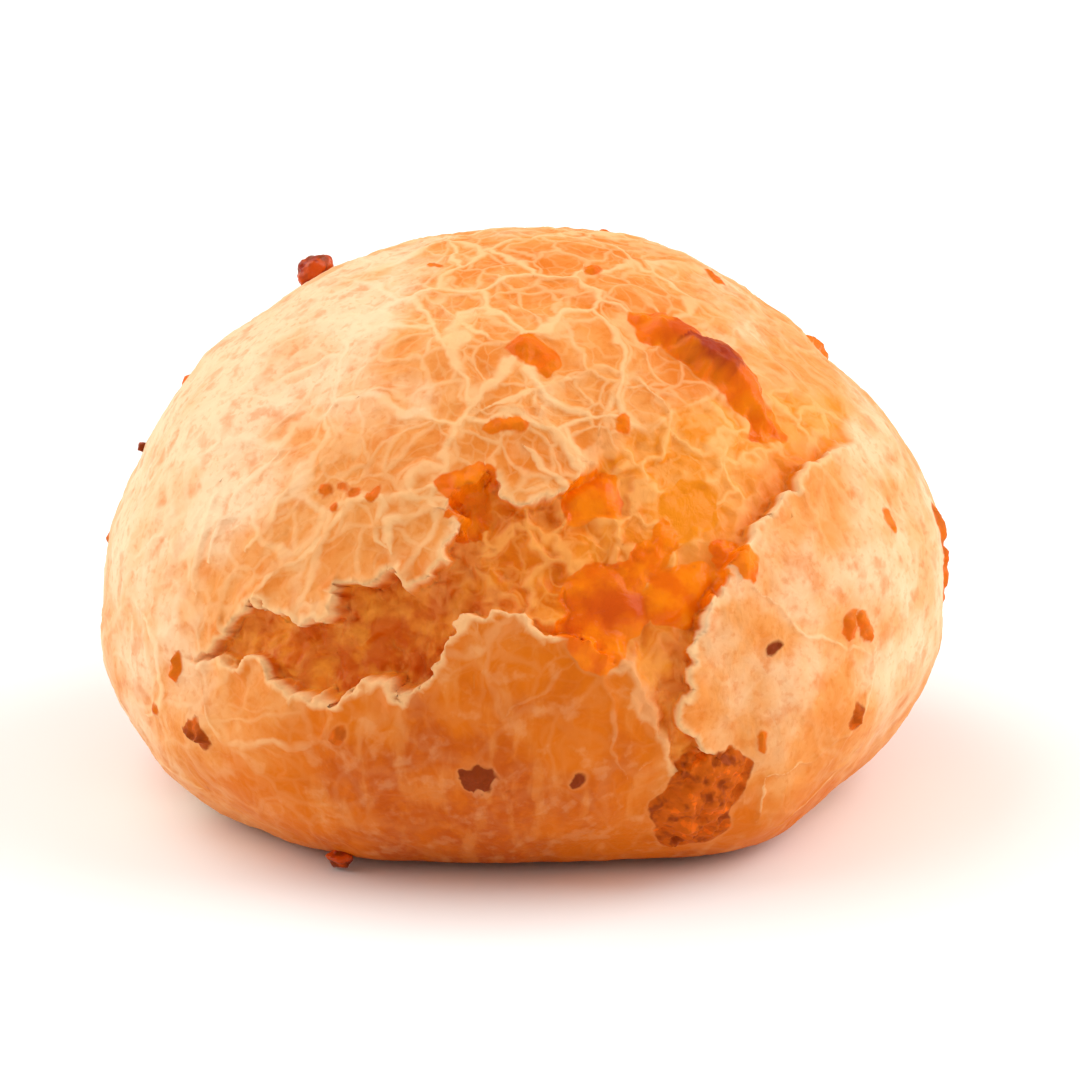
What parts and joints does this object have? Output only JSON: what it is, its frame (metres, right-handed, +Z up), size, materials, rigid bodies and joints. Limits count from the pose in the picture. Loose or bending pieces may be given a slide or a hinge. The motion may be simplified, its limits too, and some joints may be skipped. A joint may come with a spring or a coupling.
{
  "type": "pao de queijo cheese bread ball",
  "caption": "Baked cheese bread ball: a domed bun on a flat base, its crust torn open on the front and dotted with melted cheese.",
  "frame": {"origin": "middle of the flat base that the ball stands on", "axes": "+Z up, -Y towards the front with the main tear, +X to the right seen from the front"},
  "size_m": [0.056, 0.054, 0.0365],
  "materials": {
    "baked_crust": "baked tapioca crust, golden with pale cracks, satin; moist amber crumb in the tears and glossy orange cheese"
  },
  "bodies": {
    "root": {"bun": "baked_crust"}
  },
  "joints": []
}
